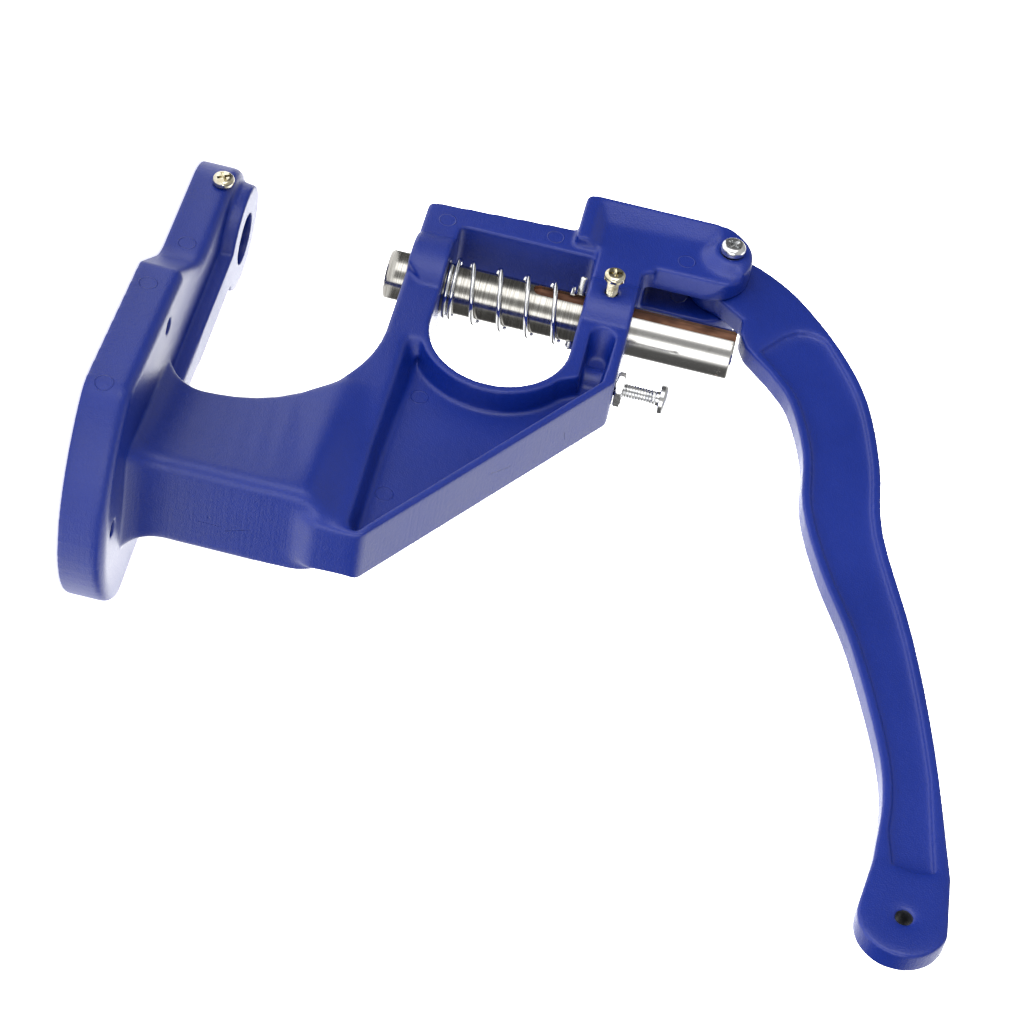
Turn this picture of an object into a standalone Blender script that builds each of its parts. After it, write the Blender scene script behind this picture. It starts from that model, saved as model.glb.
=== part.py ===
"""Bench arbor press: a cast frame, a spring-returned ram, a lever on two ears and their screws.

The frame of the part has its origin on the ram's axis at the base's underside: +Z up, +Y towards
the handle, X across. Dimensions are in millimetres; the meshes are made in metres.
"""
import math

import bpy
import bmesh
from mathutils import Vector

MM = 0.001
GAP = 0.3                      # clearance between touching pieces
CLEAR = 30.0                   # a reach past the frame's sides, for tools that cut through

# ram
RAM_RADIUS = 8.0
RAM_BOTTOM, RAM_TOP = 66.0, 179.4
RAM_CHAMFER = 0.8
KEYWAY_HALF_WIDTH = 2.4
KEYWAY_FLOOR_X = 6.2
KEYWAY_Y = -0.6
KEYWAY_BOTTOM = 113.0

# base
TONGUE_RADIUS = 21.3
TONGUE_END_Y, TONGUE_FLARE_RADIUS = 38.0, 16.0
BASE_HALF_WIDTH = 45.4
BASE_BACK_Y = 143.0
BASE_SHOULDER_Y = 63.0
BASE_REAR_RADIUS = 60.0
BASE_BOW_START, BASE_BOW_END = 47.0, 133.0
BASE_CORNER_Y, BASE_CORNER_RADIUS = 121.6, 8.0
BASE_SHOULDER_HALF_WIDTH = 40.4
BASE_TOP = 14.0
BASE_EDGE_ROUNDING = 3.2
RIB_TOP = 18.7
RIB_HALF_WIDTH = 6.8
DIE_RING_RADIUS = 17.3
DIE_HOLE_RADIUS = 8.5
DIE_HOLE_FLOOR = 5.0
MOUNTING_HOLE_RADIUS = 2.5
MOUNTING_HOLES = ((-32.8, 79.6), (32.8, 79.6), (0.0, 133.3))

# column and throat
COLUMN_FRONT_Y, COLUMN_BACK_Y = 79.5, 119.5
COLUMN_FRONT_HALF_WIDTH, COLUMN_BACK_HALF_WIDTH = 10.6, 18.0
COLUMN_TAPER_START, COLUMN_TAPER_END = 65.0, 80.5
THROAT_RADIUS = 45.3
HEAD_UNDERSIDE = 72.7

# head
BODY_HALF_WIDTH = 10.0
HEAD_TOP = 145.7
HEAD_FRONT_LOW_Y, HEAD_FRONT_HIGH_Y = -27.3, -31.8
SPINE_TOP_Y = 34.3
SPINE_BACK_Y = 122.3
SPINE_BEND_Z = 85.3
FLANGE = 2.6
WINDOW_FRONT_Y = -19.0
WINDOW_BOTTOM, WINDOW_TOP = 85.0, 129.6
WINDOW_ARC_Y = 26.0
RIM_RADIUS = 25.3
WEB_HALF_THICKNESS = 1.7
POCKET_DRAFT = 1.0
POCKET_SLOT_LOW, POCKET_SLOT_HIGH = 134.2, 142.4
SLOT_END_Y, SLOT_FLOOR_END_Y = 11.6, 17.6
POCKET_TOP_EDGE = [(35.2, 79.5), (50.0, 79.9), (64.0, 79.9), (80.0, 79.9), (107.0, 80.4)]
POCKET_FLOOR_EDGE = [(41.8, 83.6), (52.0, 83.6), (64.0, 82.9), (84.0, 82.4), (107.0, 82.6)]
STOP_BOSS_RADIUS, STOP_BOSS_BOTTOM = 4.6, 132.0
LOWER_BOSS_RADIUS, UPPER_BOSS_RADIUS = 15.5, 14.2
UPPER_BOSS_BOTTOM = 130.0
NOTCH_START_Y, NOTCH_BACK_Y, NOTCH_TOP = 6.5, 16.0, 84.2

# ears and pivot
EAR_HALF_WIDTH = 13.8
EAR_FRONT_Y, EAR_BACK_Y = -44.6, -17.2
EAR_BOTTOM = 121.7
EAR_TOP_RADIUS = 13.7
EAR_TOP_CENTRE_Z = 165.3
CHEEK_START_Y = -22.5
EAR_DRAFT_X, EAR_DRAFT_DEPTH = 6.0, 2.4
DISH_FLOOR_X = 11.3
DISH_LOW_Z = 126.0
DISH_RIM_Y, DISH_RIM_END = -43.4, (-43.8, 166.6)
DISH_FLOOR_Y, DISH_FLOOR_END = -34.6, (-36.4, 162.4)
SLOT_HALF_WIDTH = 4.3
SLOT_FLOOR = 147.0
PIVOT_Y, PIVOT_Z = -32.3, 171.8
PIVOT_BOSS_RADIUS = 6.0
PIVOT_BOSS_X = 14.4
PIVOT_BOLT_RADIUS = 3.0

# lever
LEVER_HALF_THICKNESS = 4.0
HUB_RADIUS = 11.8
LEVER_HEEL = ((2.8, 187.4, 3.0), (-1.7, 182.9, 3.0), (-7.0, 180.4, 4.0), (-13.6, 180.2, 1.2),
              (-19.8, 172.0, 2.0))
PAD_Y, PAD_Z, PAD_RADIUS = 205.8, 258.9, 13.0
PAD_HOLE_RADIUS = 2.5
LEVER_BORDER = 2.8
LEVER_RECESS_DEPTH = 1.9
LEVER_RECESS_NOSE = [(-10.6, 194.2), (-13.8, 197.8), (-14.9, 202.0), (-14.0, 206.0)]
LEVER_RECESS_FAR_END = [(188.4, 265.5), (189.6, 260.8), (188.6, 253.6)]
LEVER_OUTER_EDGE = ((-42.4, 176.0), (-38.6, 184.5), (-29.7, 196.6), (-11.3, 212.3), (9.6, 224.1),
                    (36.7, 231.6), (65.1, 236.0), (103.9, 249.8), (144.0, 260.9), (188.8, 270.3))
LEVER_INNER_EDGE = ((188.2, 248.1), (166.0, 248.1), (145.6, 243.8), (111.1, 231.4), (85.2, 218.9),
                    (61.2, 210.3), (38.3, 207.1), (17.9, 200.0), (7.2, 192.0))

# spring and its cross pin
SPRING_RADIUS = 9.5            # to the wire's centre
SPRING_WIRE_RADIUS = 0.75
SPRING_BOTTOM, SPRING_TOP = 85.3, 126.2
SPRING_CLOSED_TURNS, SPRING_OPEN_TURNS = 1.5, 4.0
PIN_RADIUS = 1.4
PIN_LENGTH = 24.0
PIN_Z = 127.9
PIN_ANGLE = math.radians(-40.0)
PIN_OFFSET = 1.6               # how far the pin sits off centre along its own axis

# screws
GUIDE_SCREW_Y, GUIDE_SCREW_Z = -0.8, 137.5
GUIDE_SCREW_RADIUS, GUIDE_HOLE_RADIUS = 1.7, 2.2
GUIDE_SCREW_HEAD_X = 19.8
CLAMP_SCREW_Z = 10.1
CLAMP_SCREW_TIP_X, CLAMP_SCREW_HEAD_X = 10.0, 21.8
CLAMP_SCREW_RADIUS, CLAMP_HOLE_RADIUS = 1.6, 1.9
PAN_HEAD_RADIUS, PAN_HEAD_HEIGHT = 3.5, 2.3
STOP_SCREW_Y = 27.1
STOP_SCREW_TIP, STOP_SCREW_HEAD_Z = 138.6, 160.0
STOP_SCREW_RADIUS = 2.5
STOP_HEAD_RADIUS, STOP_HEAD_HEIGHT = 4.7, 2.6
STOP_HOLE_FLOOR = 131.2
LOCK_NUT_THICKNESS, LOCK_NUT_RADIUS = 2.5, 5.8
PIVOT_HEAD_RADIUS, PIVOT_HEAD_HEIGHT = 4.1, 3.0
PIVOT_NUT_RADIUS, PIVOT_NUT_THICKNESS = 5.8, 4.6
PIVOT_BOLT_TAIL = 1.4          # how far the bolt stands out of its nut


# ---------------------------------------------------------------- outlines

def arc(centre, radius, start, end, steps):
    """Points of an arc from start to end, in degrees."""
    points = []
    for i in range(steps + 1):
        angle = math.radians(start + (end - start) * i / steps)
        points.append((centre[0] + radius * math.cos(angle), centre[1] + radius * math.sin(angle)))
    return points


def rounded(corners, steps=5):
    """A polygon whose corners (u, v, radius) are rounded where the radius isn't 0."""
    points = []
    count = len(corners)
    for i, (u, v, radius) in enumerate(corners):
        corner = Vector((u, v))
        if radius == 0.0:
            points.append((u, v))
            continue
        before = (Vector(corners[i - 1][:2]) - corner).normalized()
        after = (Vector(corners[(i + 1) % count][:2]) - corner).normalized()
        half_angle = before.angle(after) / 2
        centre = corner + (before + after).normalized() * (radius / math.sin(half_angle))
        start = corner + before * (radius / math.tan(half_angle)) - centre
        end = corner + after * (radius / math.tan(half_angle)) - centre
        turn = start.angle_signed(end)
        for k in range(steps + 1):
            angle = math.atan2(start.y, start.x) - turn * k / steps
            points.append((centre.x + radius * math.cos(angle), centre.y + radius * math.sin(angle)))
    return points


def smooth_curve(points, steps=4):
    """A Catmull-Rom curve through the points."""
    ends = [Vector(points[0]) * 2 - Vector(points[1])]
    ends += [Vector(p) for p in points]
    ends.append(Vector(points[-1]) * 2 - Vector(points[-2]))
    curve = []
    for a, b, c, d in zip(ends, ends[1:], ends[2:], ends[3:]):
        for k in range(steps):
            t = k / steps
            p = 0.5 * (2 * b + (c - a) * t + (2 * a - 5 * b + 4 * c - d) * t ** 2
                       + (3 * b - a - 3 * c + d) * t ** 3)
            curve.append((p.x, p.y))
    curve.append(tuple(points[-1]))
    return curve


# ---------------------------------------------------------------- solids

def solid(name, mesh_data):
    """A new object from a bmesh in millimetres, with its faces pointing out."""
    bmesh.ops.remove_doubles(mesh_data, verts=mesh_data.verts, dist=0.001)
    bmesh.ops.recalc_face_normals(mesh_data, faces=mesh_data.faces)
    bmesh.ops.scale(mesh_data, vec=(MM, MM, MM), verts=mesh_data.verts)
    mesh = bpy.data.meshes.new(name)
    mesh_data.to_mesh(mesh)
    mesh_data.free()
    thing = bpy.data.objects.new(name, mesh)
    bpy.context.scene.collection.objects.link(thing)
    return thing


def skin(rings, closed_ends=True):
    """A bmesh whose faces join rings of the same number of points, one after another."""
    data = bmesh.new()
    rows = [[data.verts.new(p) for p in ring] for ring in rings]
    count = len(rows[0])
    for low, high in zip(rows, rows[1:]):
        for i in range(count):
            j = (i + 1) % count
            data.faces.new((low[i], low[j], high[j], high[i]))
    if closed_ends:
        data.faces.new(rows[0][::-1])
        data.faces.new(rows[-1])
    return data


def prism(name, outline, axis, low, high):
    """An outline pushed along X (outline in Y, Z) or along Z (outline in X, Y)."""
    def at(level):
        if axis == "X":
            return [(level, u, v) for u, v in outline]
        return [(u, v, level) for u, v in outline]
    return solid(name, skin([at(low), at(high)]))


def turned(name, profile, base, direction, sides=32):
    """A solid of revolution: profile is (radius, distance along direction) from one end to the other."""
    turn = Vector(direction).to_track_quat("Z", "Y")
    origin = Vector(base)
    rings = []
    for radius, along in profile:
        ring = []
        for i in range(sides):
            angle = 2 * math.pi * (i + 0.5) / sides
            local = Vector((radius * math.cos(angle), radius * math.sin(angle), along))
            ring.append(origin + turn @ local)
        rings.append(ring)
    return solid(name, skin(rings))


def rod(name, radius, start, end, sides=32):
    """A plain cylinder between two points."""
    span = Vector(end) - Vector(start)
    return turned(name, ((radius, 0.0), (radius, span.length)), start, span, sides)


def combine(target, tool, operation):
    """Join, cut or intersect target with tool, which is used up."""
    modifier = target.modifiers.new(operation, "BOOLEAN")
    modifier.operation = operation
    modifier.object = tool
    modifier.solver = "EXACT"
    bpy.context.view_layer.update()
    graph = bpy.context.evaluated_depsgraph_get()
    mesh = bpy.data.meshes.new_from_object(target.evaluated_get(graph))
    target.modifiers.clear()
    target.data = mesh
    bpy.data.objects.remove(tool)
    return target


def join(target, tool):
    return combine(target, tool, "UNION")


def cut(target, tool):
    return combine(target, tool, "DIFFERENCE")


def finish(thing, material, origin=(0.0, 0.0, 0.0), parent=None):
    """Give the piece its material, its origin and its parent, and shade its round faces smooth."""
    shift = Vector(origin) * MM
    for vertex in thing.data.vertices:
        vertex.co -= shift
    thing.location = shift
    thing.data.materials.clear()
    thing.data.materials.append(material)
    thing.data.shade_smooth()
    thing.data.set_sharp_from_angle(angle=math.radians(30))
    thing.parent = parent
    return thing


def paint(name, colour, roughness, metallic):
    material = bpy.data.materials.new(name)
    material.use_nodes = True
    shader = material.node_tree.nodes["Principled BSDF"]
    shader.inputs["Base Color"].default_value = (*colour, 1.0)
    shader.inputs["Roughness"].default_value = roughness
    shader.inputs["Metallic"].default_value = metallic
    return material


# ---------------------------------------------------------------- frame casting

def base_outline():
    """Plan of the base: a round-nosed tongue, shoulders, and a wide rear with a bowed back edge."""
    centre_y = BASE_BACK_Y - BASE_REAR_RADIUS
    bow = arc((0.0, centre_y), BASE_REAR_RADIUS, BASE_BOW_START, BASE_BOW_END, 20)
    side = [(TONGUE_RADIUS, 0.0, 0.0), (TONGUE_RADIUS, TONGUE_END_Y, TONGUE_FLARE_RADIUS),
            (BASE_SHOULDER_HALF_WIDTH, BASE_SHOULDER_Y, 4.0),
            (BASE_HALF_WIDTH, BASE_CORNER_Y, BASE_CORNER_RADIUS)]
    corners = side + [(x, y, 0.0) for x, y in bow] + [(-x, y, radius) for x, y, radius in reversed(side)]
    nose = arc((0.0, 0.0), TONGUE_RADIUS, 180.0, 360.0, 24)
    return nose + rounded(corners)[1:-1]


def column_ring(z, front_y, back_y, front_half_width, back_half_width):
    corners = [(front_half_width, front_y, 2.5), (back_half_width, back_y, 4.0),
               (-back_half_width, back_y, 4.0), (-front_half_width, front_y, 2.5)]
    return [(x, y, z) for x, y in rounded(corners)]


def throat_front(z):
    """Y of the throat's edge at height z."""
    drop = max(z - (HEAD_UNDERSIDE - THROAT_RADIUS), 0.0)
    return COLUMN_FRONT_Y - THROAT_RADIUS + math.sqrt(max(THROAT_RADIUS ** 2 - drop ** 2, 0.0))


def column():
    """The lower column, flared at its foot and drawn in to the spine's width at its top."""
    rings = []
    for rise, flare in ((-2.0, 7.0), (1.0, 4.0), (4.0, 1.8), (8.0, 0.5), (12.0, 0.0)):
        z = BASE_TOP + rise
        rings.append(column_ring(z, COLUMN_FRONT_Y - flare, COLUMN_BACK_Y + flare * 0.8,
                                 COLUMN_FRONT_HALF_WIDTH + flare, COLUMN_BACK_HALF_WIDTH + flare * 0.8))
    levels = [30.0, 36.0, 42.0, 48.0, 54.0, COLUMN_TAPER_START]
    taper_steps = 14
    for i in range(1, taper_steps + 1):
        levels.append(COLUMN_TAPER_START + (COLUMN_TAPER_END - COLUMN_TAPER_START) * i / taper_steps)
    for z in levels:
        t = max(z - COLUMN_TAPER_START, 0.0) / (COLUMN_TAPER_END - COLUMN_TAPER_START)
        ease = t * t * (3 - 2 * t)
        back_half = COLUMN_BACK_HALF_WIDTH + (BODY_HALF_WIDTH - 0.4 - COLUMN_BACK_HALF_WIDTH) * ease
        front_half = COLUMN_FRONT_HALF_WIDTH + (BODY_HALF_WIDTH - 0.4 - COLUMN_FRONT_HALF_WIDTH) * ease
        back_y = COLUMN_BACK_Y + (SPINE_BACK_Y - 0.4 - COLUMN_BACK_Y) * ease
        front_y = max(throat_front(z), 60.0)
        rings.append(column_ring(z, front_y, back_y, front_half, back_half))
    return solid("column", skin(rings))


def side_profile():
    """Side view of the upper frame: throat, head and sloping spine."""
    throat_centre = (COLUMN_FRONT_Y - THROAT_RADIUS, HEAD_UNDERSIDE - THROAT_RADIUS)
    throat = arc(throat_centre, THROAT_RADIUS, 30.0, 90.0, 16)
    rest = rounded([(0.0, HEAD_UNDERSIDE, 0.0),
                    (HEAD_FRONT_LOW_Y, HEAD_UNDERSIDE, 2.5),
                    (HEAD_FRONT_HIGH_Y, HEAD_TOP, 1.0),
                    (SPINE_TOP_Y, HEAD_TOP, 3.0),
                    (SPINE_BACK_Y, SPINE_BEND_Z, 4.0),
                    (SPINE_BACK_Y, 70.0, 0.0),
                    (COLUMN_BACK_Y - 3.0, 60.0, 0.0),
                    (COLUMN_BACK_Y - 3.0, 50.0, 0.0)])
    return throat + rest


def diagonal_y(z, inset):
    """Y of the spine's sloping back at height z, moved in by inset square to the slope."""
    run, rise = SPINE_BACK_Y - SPINE_TOP_Y, SPINE_BEND_Z - HEAD_TOP
    slope_y = SPINE_TOP_Y + (z - HEAD_TOP) / rise * run
    return slope_y - inset * math.hypot(run, rise) / abs(rise)


def pocket_outline(rim_radius, end_y, left_edge, slot_low, slot_high, flange):
    """Side view of the pocket round the window: column side, rim, slot behind the guide boss and flange."""
    centre = (WINDOW_ARC_Y, (WINDOW_BOTTOM + WINDOW_TOP) / 2)
    rim = arc(centre, rim_radius, -66.0, 58.0, 14)
    slot_radius = (slot_high - slot_low) / 2
    slot = arc((end_y + slot_radius, slot_low + slot_radius), slot_radius, 270.0, 90.0, 10)
    back_z = slot_high - 0.6
    corner_z = left_edge[-1][1] + 2.6
    back = [(diagonal_y(back_z, flange), back_z), (diagonal_y(corner_z, flange), corner_z),
            (diagonal_y(corner_z, flange) - 1.5, left_edge[-1][1])]
    return rim + [(36.0, slot_low + 0.2)] + slot + back + left_edge[::-1]


def cut_pocket(frame, side):
    """The drafted pocket on one side of the web, with the stop screw's boss standing in it."""
    top = pocket_outline(RIM_RADIUS, SLOT_END_Y, POCKET_TOP_EDGE, POCKET_SLOT_LOW, POCKET_SLOT_HIGH, FLANGE)
    floor = pocket_outline(RIM_RADIUS + POCKET_DRAFT, SLOT_FLOOR_END_Y, POCKET_FLOOR_EDGE,
                           POCKET_SLOT_LOW + 0.7, POCKET_SLOT_HIGH - 0.5, FLANGE + 0.6)
    levels = ((CLEAR, top), (BODY_HALF_WIDTH, top), (WEB_HALF_THICKNESS, floor))
    rings = [[(side * x, y, z) for y, z in outline] for x, outline in levels]
    cut(frame, solid("pocket", skin(rings)))


def window_outline():
    radius = (WINDOW_TOP - WINDOW_BOTTOM) / 2
    bow = arc((WINDOW_ARC_Y, WINDOW_BOTTOM + radius), radius, -90.0, 90.0, 28)
    front = rounded([(WINDOW_ARC_Y, WINDOW_TOP, 0.0), (WINDOW_FRONT_Y, WINDOW_TOP, 2.0),
                     (WINDOW_FRONT_Y, WINDOW_BOTTOM, 2.0), (WINDOW_ARC_Y, WINDOW_BOTTOM, 0.0)])
    return bow + front[1:-1]


def ear_outline():
    """Side view of the ear block, with the cheek that reaches back to the upper guide boss."""
    top = arc((EAR_FRONT_Y + EAR_TOP_RADIUS, EAR_TOP_CENTRE_Z), EAR_TOP_RADIUS, 180.0, 0.0, 20)
    foot = arc((EAR_BACK_Y + 3.5, HEAD_TOP + 3.3), 3.5, 180.0, 270.0, 5)
    cheek = [(0.0, HEAD_TOP - 0.2), (0.0, UPPER_BOSS_BOTTOM)]
    chin = rounded([(0.0, UPPER_BOSS_BOTTOM, 0.0), (CHEEK_START_Y, UPPER_BOSS_BOTTOM, 1.0),
                    (CHEEK_START_Y, EAR_BOTTOM, 1.0),
                    (EAR_FRONT_Y, EAR_BOTTOM, 3.0), (EAR_FRONT_Y, EAR_TOP_CENTRE_Z, 0.0)])
    return top + foot + cheek + chin[1:-1]


def ear_dish(side):
    """The drafted dish in an ear's outer face: it rises to the rim in front and to the pivot boss."""
    around = [(DISH_LOW_Z, DISH_RIM_Y, DISH_RIM_END, PIVOT_BOSS_RADIUS + 0.3, -140.0, EAR_HALF_WIDTH),
              (DISH_LOW_Z + 4.0, DISH_FLOOR_Y, DISH_FLOOR_END, PIVOT_BOSS_RADIUS + 3.9, -116.0, DISH_FLOOR_X)]
    outlines = []
    for low, front_y, front_end, radius, start, level in around:
        boss = arc((PIVOT_Y, PIVOT_Z), radius, start, 30.0, 14)
        outline = [(front_y, low), front_end] + boss
        outline += [(-10.0, 180.0), (5.0, 180.0), (5.0, 120.0), (CHEEK_START_Y - 0.1, 120.0),
                    (CHEEK_START_Y - 0.1, low)]
        outlines.append((level, outline))
    outlines.insert(0, (CLEAR, outlines[0][1]))
    rings = [[(side * x, y, z) for y, z in outline] for x, outline in outlines]
    return solid("dish", skin(rings))


def ears(frame):
    """Join the dished ear block to the frame, then slot and bore it."""
    block = prism("ear_block", ear_outline(), "X", -EAR_HALF_WIDTH, EAR_HALF_WIDTH)
    for side in (-1, 1):
        cut(block, ear_dish(side))
        edge_y, outside_x = EAR_BACK_Y - EAR_DRAFT_DEPTH, DISH_FLOOR_X + 1.0
        draft = [(side * x, y) for x, y in ((EAR_DRAFT_X, EAR_BACK_Y + 6.0), (EAR_DRAFT_X, EAR_BACK_Y),
                                            (DISH_FLOOR_X, edge_y), (outside_x, edge_y),
                                            (outside_x, EAR_BACK_Y + 6.0))]
        cut(block, prism("draft", draft, "Z", HEAD_TOP + 3.4, PIVOT_Z + 3.0))
    join(frame, block)
    for side in (-1, 1):
        join(frame, rod("pivot_boss", PIVOT_BOSS_RADIUS, (side * 7.0, PIVOT_Y, PIVOT_Z),
                        (side * PIVOT_BOSS_X, PIVOT_Y, PIVOT_Z), 28))
    slot = [(-60.0, SLOT_FLOOR), (10.0, SLOT_FLOOR), (10.0, 190.0), (-60.0, 190.0)]
    cut(frame, prism("slot", slot, "X", -SLOT_HALF_WIDTH, SLOT_HALF_WIDTH))
    cut(frame, rod("pivot_hole", PIVOT_BOLT_RADIUS + GAP, (-CLEAR, PIVOT_Y, PIVOT_Z),
                   (CLEAR, PIVOT_Y, PIVOT_Z), 20))


def frame_casting(material):
    frame = prism("frame_casting", base_outline(), "Z", 0.0, BASE_TOP)
    data = bmesh.new()
    data.from_mesh(frame.data)
    top_edges = [e for e in data.edges if all(v.co.z > (BASE_TOP - 0.1) * MM for v in e.verts)]
    bmesh.ops.bevel(data, geom=top_edges, offset=BASE_EDGE_ROUNDING * MM, segments=3, profile=0.5,
                    affect="EDGES", clamp_overlap=True)
    data.to_mesh(frame.data)
    data.free()

    ring = ((DIE_RING_RADIUS + 0.8, 0.0), (DIE_RING_RADIUS, RIB_TOP - BASE_TOP + 2.0))
    join(frame, turned("die_ring", ring, (0.0, 0.0, BASE_TOP - 2.0), (0.0, 0.0, 1.0), 40))
    rib = [(-RIB_HALF_WIDTH, 0.0), (RIB_HALF_WIDTH, 0.0), (RIB_HALF_WIDTH, 86.0), (-RIB_HALF_WIDTH, 86.0)]
    join(frame, prism("rib", rib, "Z", BASE_TOP - 2.0, RIB_TOP))
    join(frame, column())
    join(frame, prism("upper_body", side_profile(), "X", -BODY_HALF_WIDTH, BODY_HALF_WIDTH))

    join(frame, rod("lower_boss", LOWER_BOSS_RADIUS, (0.0, 0.0, HEAD_UNDERSIDE),
                    (0.0, 0.0, WINDOW_BOTTOM), 40))
    notch = [(NOTCH_START_Y, 70.0), (NOTCH_START_Y, HEAD_UNDERSIDE), (NOTCH_BACK_Y, NOTCH_TOP),
             (24.0, NOTCH_TOP), (24.0, 70.0)]
    for low, high in ((BODY_HALF_WIDTH, CLEAR), (-CLEAR, -BODY_HALF_WIDTH)):
        cut(frame, prism("boss_notch", notch, "X", low, high))
    join(frame, rod("upper_boss", UPPER_BOSS_RADIUS, (0.0, 0.0, UPPER_BOSS_BOTTOM),
                    (0.0, 0.0, HEAD_TOP), 40))
    ears(frame)

    cut(frame, prism("window", window_outline(), "X", -CLEAR, CLEAR))
    for side in (-1, 1):
        cut_pocket(frame, side)
    join(frame, rod("stop_boss", STOP_BOSS_RADIUS, (0.0, STOP_SCREW_Y, STOP_BOSS_BOTTOM),
                    (0.0, STOP_SCREW_Y, HEAD_TOP - 1.0), 24))

    cut(frame, rod("ram_bore", RAM_RADIUS + GAP, (0.0, 0.0, 60.0), (0.0, 0.0, 150.0), 40))
    cut(frame, rod("die_hole", DIE_HOLE_RADIUS, (0.0, 0.0, DIE_HOLE_FLOOR), (0.0, 0.0, 30.0), 32))
    cut(frame, rod("clamp_hole", CLAMP_HOLE_RADIUS, (4.0, 0.0, CLAMP_SCREW_Z),
                   (CLEAR, 0.0, CLAMP_SCREW_Z), 16))
    cut(frame, rod("guide_hole", GUIDE_HOLE_RADIUS, (2.0, GUIDE_SCREW_Y, GUIDE_SCREW_Z),
                   (CLEAR, GUIDE_SCREW_Y, GUIDE_SCREW_Z), 16))
    cut(frame, rod("stop_hole", STOP_SCREW_RADIUS + GAP, (0.0, STOP_SCREW_Y, STOP_HOLE_FLOOR),
                   (0.0, STOP_SCREW_Y, 150.0), 16))
    for x, y in MOUNTING_HOLES:
        cut(frame, rod("mounting_hole", MOUNTING_HOLE_RADIUS, (x, y, -5.0), (x, y, 30.0), 20))
    return finish(frame, material)


# ---------------------------------------------------------------- moving pieces

def ram(material, parent):
    inner = RAM_RADIUS - RAM_CHAMFER
    length = RAM_TOP - RAM_BOTTOM
    profile = ((inner, 0.0), (RAM_RADIUS, RAM_CHAMFER), (RAM_RADIUS, length - RAM_CHAMFER), (inner, length))
    bar = turned("ram", profile, (0.0, 0.0, RAM_BOTTOM), (0.0, 0.0, 1.0), 40)
    keyway = arc((KEYWAY_Y, KEYWAY_BOTTOM + KEYWAY_HALF_WIDTH), KEYWAY_HALF_WIDTH, 180.0, 360.0, 10)
    keyway += [(KEYWAY_Y + KEYWAY_HALF_WIDTH, RAM_TOP + 5.0), (KEYWAY_Y - KEYWAY_HALF_WIDTH, RAM_TOP + 5.0)]
    cut(bar, prism("keyway", keyway, "X", KEYWAY_FLOOR_X, 12.0))
    along = Vector((math.cos(PIN_ANGLE), math.sin(PIN_ANGLE), 0.0))
    centre = Vector((0.0, 0.0, PIN_Z))
    cut(bar, rod("pin_hole", PIN_RADIUS + GAP, centre - along * 20.0, centre + along * 20.0, 16))
    return finish(bar, material, (0.0, 0.0, RAM_BOTTOM), parent)


def cross_pin(material, parent):
    """A round-ended pin through the ram, which the spring pushes on."""
    along = Vector((math.cos(PIN_ANGLE), math.sin(PIN_ANGLE), 0.0))
    start = Vector((0.0, 0.0, PIN_Z)) + along * (PIN_OFFSET - PIN_LENGTH / 2)
    end_radius = 0.6
    profile = ((end_radius, 0.0), (PIN_RADIUS * 0.88, 0.5), (PIN_RADIUS, 1.3),
               (PIN_RADIUS, PIN_LENGTH - 1.3), (PIN_RADIUS * 0.88, PIN_LENGTH - 0.5), (end_radius, PIN_LENGTH))
    pin = turned("spring_cross_pin", profile, start, along, 16)
    return finish(pin, material, (0.0, 0.0, PIN_Z), parent)


def return_spring(material):
    """A compression spring with closed ends, swept turn by turn."""
    wire = SPRING_WIRE_RADIUS
    closed_pitch = 2 * wire + 0.35
    bottom, top = SPRING_BOTTOM + wire, SPRING_TOP - wire
    open_rise = top - bottom - (SPRING_CLOSED_TURNS + 0.5) * closed_pitch
    steps_per_turn, sides = 22, 8
    total = SPRING_CLOSED_TURNS + SPRING_OPEN_TURNS + 0.5
    count = int(total * steps_per_turn)
    rings = []
    for i in range(count + 1):
        turns = total * i / count
        low = min(turns, SPRING_CLOSED_TURNS)
        middle = min(max(turns - SPRING_CLOSED_TURNS, 0.0), SPRING_OPEN_TURNS)
        high = max(turns - SPRING_CLOSED_TURNS - SPRING_OPEN_TURNS, 0.0)
        z = bottom + (low + high) * closed_pitch + middle * open_rise / SPRING_OPEN_TURNS
        angle = 2 * math.pi * turns
        outward = Vector((math.cos(angle), math.sin(angle), 0.0))
        centre = outward * SPRING_RADIUS + Vector((0.0, 0.0, z))
        ring = []
        for k in range(sides):
            around = 2 * math.pi * k / sides
            ring.append(centre + outward * (wire * math.cos(around))
                        + Vector((0.0, 0.0, wire * math.sin(around))))
        rings.append(ring)
    return finish(solid("return_spring", skin(rings)), material, (0.0, 0.0, SPRING_BOTTOM))


def lever_outline():
    """Side view of the lever: hub, outer edge, round end pad, inner edge and heel."""
    outer = smooth_curve(LEVER_OUTER_EDGE)
    pad = arc((PAD_Y, PAD_Z), PAD_RADIUS, 78.0, -92.0, 16)
    inner = smooth_curve(LEVER_INNER_EDGE)
    heel = rounded([(*LEVER_INNER_EDGE[-1], 0.0)] + list(LEVER_HEEL) + [(-22.0, 168.0, 0.0)], 4)[1:-1]
    hub = arc((PIVOT_Y, PIVOT_Z), HUB_RADIUS, -6.0, -200.0, 18)
    return outer + pad + inner + heel + hub


def inset_edge(points, distance):
    """A curve moved square to itself, to its right, by distance."""
    moved = []
    for before, here, after in zip(points, points[1:], points[2:]):
        along = (Vector(after) - Vector(before)).normalized()
        moved.append(tuple(Vector(here) + Vector((along.y, -along.x)) * distance))
    return moved


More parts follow.
